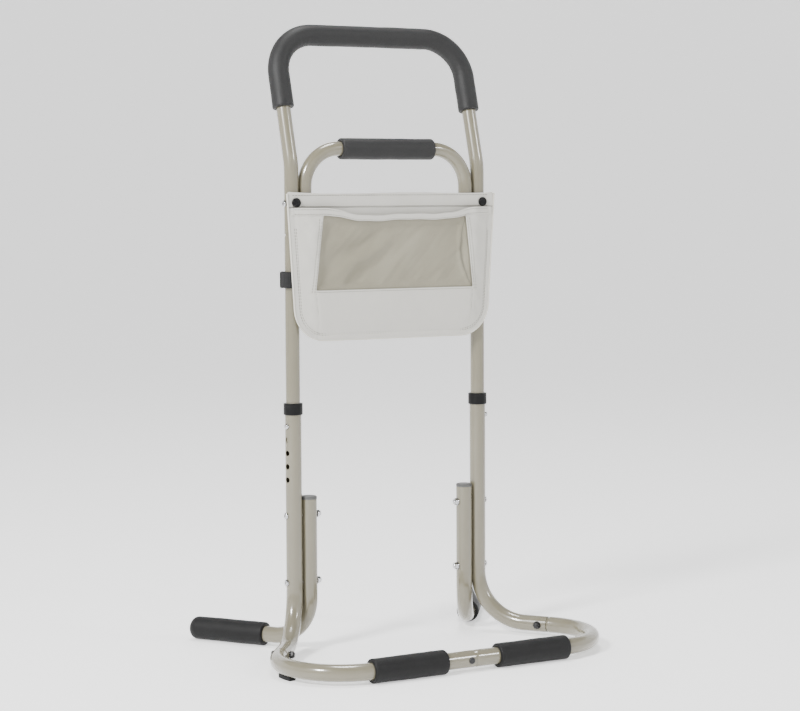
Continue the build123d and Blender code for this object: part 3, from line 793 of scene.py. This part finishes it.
for i, point in enumerate(outlineRoute):
    along = (outlineRoute[min(i + 1, len(outlineRoute) - 1)] - outlineRoute[max(i - 1, 0)]).normalized()
    across = Vector((along.z, 0, -along.x))
    swell = 1 + 0.06 * waves(point, 55.0, 5.0)
    for k in range(binding["sides"]):
        angle = 2 * math.pi * k / binding["sides"]
        cos, sin = math.cos(angle), math.sin(angle)
        flatten = (abs(cos) ** 3 + abs(sin) ** 3) ** (-1 / 3) * swell
        deep = tubeY - binding["depth"] + sin * binding["halfDeep"] * flatten
        verts.append(point + across * cos * binding["halfWide"] * flatten + Vector((0, deep, 0)))
pouchTape = meshPiece("pouchEdgeTape", verts, ringFaces(len(outlineRoute), binding["sides"]), "tape")
print("edge tape made")

# shape gives one stitch as (share of its length, thickness, rise), the last two in thread radii
# the lower and cross spans and the tuck span place continuous dark lines of painted shade, not stitches
stitch = {"long": 0.0034, "gap": 0.0014, "radius": 0.00042, "sunk": 0.00005, "foldDrops": (0.0200, 0.0030),
          "hemShares": (0.20, 0.82), "borderInsets": (0.0078, 0.0104), "besideNet": (0.0022, 0.0064),
          "foldHalf": 0.174, "hemHalf": 0.172, "crossShadeLineHalf": 0.139, "borderTall": 0.171, "netSpan": (0.553, 0.667),
          "lowerShadeLineSpan": (0.490, 0.5565), "tuckShadowLineSpan": (0.560, 0.664),
          "shape": [(0.0, 0.35, -0.6), (0.12, 0.9, 0.1), (0.5, 1.0, 0.3), (0.88, 0.9, 0.1), (1.0, 0.35, -0.6)]}
threadVerts, threadFaces = [], []


def sewAlong(line, surface, gap=stitch["gap"]):  # line gives (x, z); surface gives the depth there; with a gap of 0 it lays one continuous dark line
    route = [Vector((x, tubeY + surface(x, z) + stitch["sunk"], z)) for x, z in line]
    count = int(routeLength(route) / (stitch["long"] + gap))
    up = Vector((0, -1, 0))
    for i in range(count):
        begin = i * (stitch["long"] + gap)
        places = sample(route, [begin + stitch["long"] * cut for cut, swell, rise in stitch["shape"]])
        for j, ((point, along), (cut, swell, rise)) in enumerate(zip(places, stitch["shape"])):
            width, arch = stitch["radius"] * swell, stitch["radius"] * rise
            across = along.cross(up).normalized()
            for k in range(6):
                angle = math.pi * k / 3
                lift = up * (arch + width * math.sin(angle))
                threadVerts.append(point + lift + across * width * math.cos(angle))
            if j:
                a, b = len(threadVerts) - 12, len(threadVerts) - 6
                threadFaces.extend((a + k, a + (k + 1) % 6, b + (k + 1) % 6, b + k) for k in range(6))


def onPocket(x, z):
    return pocketDepthAt(x, z) - pocket["thick"] / 2


def onHem(x, z):
    return pocketDepthAt(x, z) - hem["proud"] - hem["thick"] / 2 - 0.0003


def onFold(x, z):
    return backDepthAt(x, z) - fold["proud"] - fold["thick"] / 2 - 0.0005


def onTuck(x, z):
    return netDepthAt(x, z) - net["thick"] / 2


def spaced(low, high, count):
    return [low + (high - low) * k / count for k in range(count + 1)]


def acrossRow(half, count):
    return spaced(-stitch[half], stitch[half], count)


for drop in stitch["foldDrops"]:
    sewAlong([(x, pouch["top"] - drop) for x in acrossRow("foldHalf", 120)], onFold)
for share in stitch["hemShares"]:
    sewAlong([(x, pocketTopAt(x) - share * bandAt(x)) for x in acrossRow("hemHalf", 160)], onHem)
for inset in stitch["borderInsets"]:  # rows inside the rounded outline
    first, tall = pouch["bottom"] + inset + 0.0002, stitch["borderTall"] - inset
    heights = [first + tall * (k / 90) ** 1.6 for k in range(91)]
    lower = [(sideAt(z, -inset), z) for z in heights]
    sewAlong([(-x, z) for x, z in reversed(lower)] + lower, onPocket)
for sign in (-1, 1):  # rows beside the net, and down the lower panel a continuous dark line of painted seam shade
    for off in stitch["besideNet"]:
        sewAlong([(sign * (windowHalfAt(z) + off), z) for z in spaced(*stitch["netSpan"], 50)], onPocket)
    # down the lower panel: a continuous dark line, painted seam shade
    sewAlong([(sign * lowerSeamAt(z), z) for z in spaced(*stitch["lowerShadeLineSpan"], 34)], onPocket, 0.0)
# a continuous dark line under the window: painted seam shade
sewAlong([(x, pocket["windowLow"] - seams["crossBelow"]) for x in acrossRow("crossShadeLineHalf", 90)], onPocket, 0.0)
# a continuous dark line along the net's fold: painted shadow of the fold
sewAlong([(netTuckAt(z), z) for z in spaced(*stitch["tuckShadowLineSpan"], 50)], onTuck, 0.0)
# the stitching mesh also holds the continuous lines of painted shade
pouchThreadAndShadeLines = meshPiece("pouchStitchingAndShadeLines", threadVerts, threadFaces, "threadAndShadeLines")
print("stitching made:", len(threadFaces), "faces")

snap = {"face": 0.0163, "height": 0.6905, "grow": 1.12, "sides": 40,
        "profile": [(0.0001, 0.0011), (0.0020, 0.0011), (0.0031, 0.0014), (0.0040, 0.0024), (0.0048, 0.0030),
                    (0.0056, 0.0030), (0.0062, 0.0025), (0.0065, 0.0016), (0.0064, 0.0)]}
verts, faces = [], []
for sign in (-1, 1):
    first = len(verts)
    for radius, proud in snap["profile"]:
        for k in range(snap["sides"]):
            angle = 2 * math.pi * k / snap["sides"]
            wide = radius * snap["grow"]
            x, z = sign * tubeX + wide * math.cos(angle), snap["height"] + wide * math.sin(angle)
            verts.append((x, tubeY - snap["face"] - proud, z))
    faces += [tuple(first + v for v in face) for face in ringFaces(len(snap["profile"]), snap["sides"])]
    faces.append(tuple(first + k for k in range(snap["sides"])))
snapCaps = meshPiece("pouchSnapCaps", verts, faces, "blackPlastic")

for piece in (pouchBack, pouchFold, pouchFront, pouchHem, pouchNet, pouchTape, pouchThreadAndShadeLines):
    for vertex in piece.data.vertices:  # it hangs a little off centre, held by the snaps
        vertex.co.x += pouch["shift"]

standsFor = [(pouchBack, "pouch_back", "light_grey_fabric"), (pouchFront, "pouch_pocket", "light_grey_fabric"),
             (pouchHem, "pocket_hem", "light_grey_fabric"), (pouchNet, "pouch_mesh", "mesh"),
             (pouchTape, "pouch_binding", "binding"), (snapCaps, "pouch_snaps", "black_plastic")]
for piece, node, slotName in standsFor:
    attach(piece, "upper_frame")
    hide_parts(node)
for piece in (pouchThreadAndShadeLines, pouchFold):
    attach(piece, "upper_frame")
print("pouch placed")


# a band round each upright and second handle leg
strap = {"low": 0.561, "high": 0.586, "inner": 0.0115, "thick": 0.0015, "bend": 0.0131, "rows": 7, "around": 120,
         "unevenness": 0.0003, "tailFrom": 0.40, "tailShare": 0.30, "tailSteps": 48, "tailLift": 0.0017,
         "tailInset": 0.0006, "tipLift": 0.0006, "tipSteps": 8}


def loopPoint(share, lift, near, far):  # a share of the way round the two tubes
    radius = strap["inner"] + strap["thick"] / 2
    run, arc = far - near, math.pi * radius
    gone = (share % 1.0) * 2 * (run + arc)
    r = radius + lift
    if gone < run:
        return near + gone, -r
    if gone < run + arc:
        angle = -math.pi / 2 + (gone - run) / radius
        return far + r * math.cos(angle), r * math.sin(angle)
    if gone < 2 * run + arc:
        return far - (gone - run - arc), r
    angle = math.pi / 2 + (gone - 2 * run - arc) / radius
    return near + r * math.cos(angle), r * math.sin(angle)


for side, sign in (("left", -1), ("right", 1)):
    low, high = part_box("strap_" + side)
    near, far = min(abs(low.x), abs(high.x)) + strap["bend"], max(abs(low.x), abs(high.x)) - strap["bend"]
    verts, faces = [], []
    around, rows, tall = strap["around"], strap["rows"], strap["high"] - strap["low"]
    for i in range(around):
        x, y = loopPoint(i / around, 0.0, near, far)
        for r in range(rows):
            z = strap["low"] + tall * r / (rows - 1) + strap["unevenness"] * math.sin(i * 0.5)
            verts.append((sign * x, tubeY + y, z))
    for i in range(around):
        j = (i + 1) % around
        faces += [(i * rows + r, j * rows + r, j * rows + r + 1, i * rows + r + 1) for r in range(rows - 1)]
    first, steps = len(verts), strap["tailSteps"]
    for i in range(steps + 1):  # the sewn-over tail
        tipShare = ease((i - steps + strap["tipSteps"]) / strap["tipSteps"])
        lift = strap["tailLift"] + strap["tipLift"] * tipShare
        x, y = loopPoint(strap["tailFrom"] + strap["tailShare"] * i / steps, lift, near, far)
        for r in range(rows):
            z = strap["low"] + strap["tailInset"] + (tall - 2 * strap["tailInset"]) * r / (rows - 1)
            verts.append((sign * x, tubeY + y, z))
    for i in range(steps):
        a, b = first + i * rows, first + (i + 1) * rows
        faces += [(a + r, b + r, b + r + 1, a + r + 1) for r in range(rows - 1)]
    band = meshPiece("pouchStrap" + side.title(), verts, faces, "webbing")
    thicken(band, strap["thick"], 0)
    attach(band, "upper_frame")
    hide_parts("strap_" + side)
print("straps made")


# leaf springs, each copied from the frame as it stands
springs = {"legTurn": 15.0, "legTravel": 0.0052, "barTravel": 0.0037}


def givingSpring(node, name, body, outward):
    piece = bpy.data.objects.new(name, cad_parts[node].data.copy())
    bpy.context.scene.collection.objects.link(piece)
    outward = Vector(outward).normalized()
    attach(piece, body)
    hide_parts(node)
    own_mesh(piece)


legTurn = math.radians(springs["legTurn"])
for side, sign in (("left", -1), ("right", 1)):
    givingSpring("height_spring_" + side, "legSpring" + side.title(), "upper_frame",
                 (sign * math.cos(legTurn), -math.sin(legTurn), 0))
givingSpring("base_spring", "frontBarSpring", "base", (0, -1, 0))
print("leaf springs made")


# a pale floor that curves up all round, a soft room and three lamps
studio = {"flat": 7.0, "curve": 5.0, "wall": 3.0, "sides": 96, "curveRings": 16, "glow": 0.7, "room": 0.25}
profile = [(0.0, 0.0), (1.0, 0.0), (3.0, 0.0), (studio["flat"], 0.0)]
for k in range(1, studio["curveRings"] + 1):
    angle = math.pi / 2 * k / studio["curveRings"]
    out, up = studio["curve"] * math.sin(angle), studio["curve"] * (1 - math.cos(angle))
    profile.append((studio["flat"] + out, up))
profile.append((studio["flat"] + studio["curve"], studio["curve"] + studio["wall"]))
turns = [2 * math.pi * k / studio["sides"] for k in range(studio["sides"])]
verts = [(r * math.cos(turn), r * math.sin(turn), z) for r, z in profile for turn in turns]
finishes["floor"], tree, shader = startMaterial("paleFloor", 0.6, Emission_Strength=studio["glow"],
                                                Emission_Color=(1, 1, 1, 1))
tone = place(tree, "mottle", Scale=1.2, Amount=0.2)
paleness = mixColours(tree, tone.outputs["Mask"], (0.86, 0.86, 0.86), (0.88, 0.88, 0.88))
tree.links.new(paleness, shader.inputs["Base Color"])
studioFloor = meshPiece("studioFloor", verts, ringFaces(len(profile), studio["sides"]), "floor")


# each lamp stands at a place, aims at a point, and has a size in metres and a power in watts
lamps = {"keySoft": ((-3.0, -1.2, 2.7), (0, 0, 0.5), 0.8, 230),
         "fillSoft": ((2.2, -3.0, 2.6), (0, 0, 0.5), 0.7, 45),
         "topSoft": ((0.3, 0.5, 4.2), (0, 0, 0.3), 1.4, 120)}


def addLight(name, spot, aim, size, power):
    data = bpy.data.lights.new(name, "AREA")
    data.shape, data.size, data.energy = "DISK", size, power
    lamp = bpy.data.objects.new(name, data)
    lamp.location = spot
    lamp.rotation_mode = "QUATERNION"
    lamp.rotation_quaternion = (Vector(spot) - Vector(aim)).to_track_quat("Z", "Y")
    bpy.context.scene.collection.objects.link(lamp)


world = bpy.data.worlds.new("softRoom")
world.use_nodes = True
world.node_tree.nodes["Background"].inputs["Color"].default_value = (1, 1, 1, 1)
world.node_tree.nodes["Background"].inputs["Strength"].default_value = studio["room"]
bpy.context.scene.world = world
for name, (spot, aim, size, power) in lamps.items():
    addLight(name, spot, aim, size, power)
print("floor and light made")
